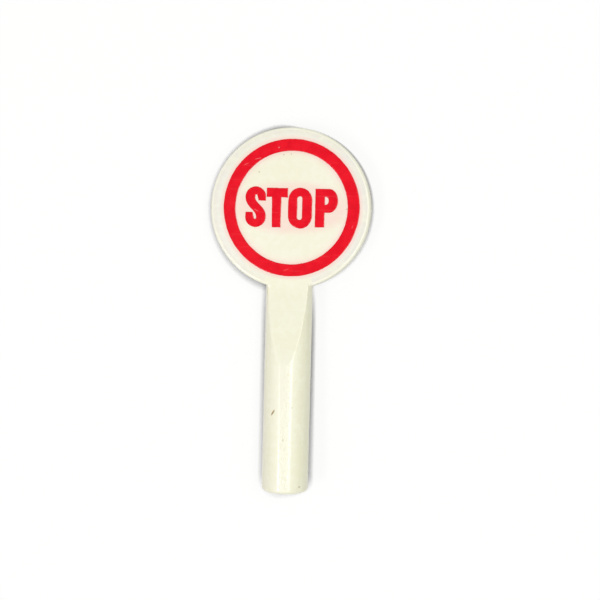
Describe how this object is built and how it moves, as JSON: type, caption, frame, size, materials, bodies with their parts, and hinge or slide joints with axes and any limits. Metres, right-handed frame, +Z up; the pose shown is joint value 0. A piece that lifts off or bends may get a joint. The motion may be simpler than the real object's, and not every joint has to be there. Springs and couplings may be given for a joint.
{
  "type": "toy traffic stop paddle",
  "caption": "Miniature hand-held stop paddle: a flat round head with a printed red ring, on a round grip that ramps down to the head, moulded in one piece.",
  "frame": {"origin": "on the surface that the paddle lies on, under the centre of its bounding box", "axes": "+Z up, out of the printed face; +Y along the grip towards the round head; +X to the right, seen from the printed side"},
  "size_m": [0.011, 0.025, 0.0036],
  "materials": {
    "cream_plastic": "glossy moulded plastic, yellowed with age and lightly scratched",
    "red_ink": "thin opaque print, slightly glossy"
  },
  "bodies": {
    "root": {"paddle": "cream_plastic", "ring_print": "red_ink"}
  },
  "joints": []
}
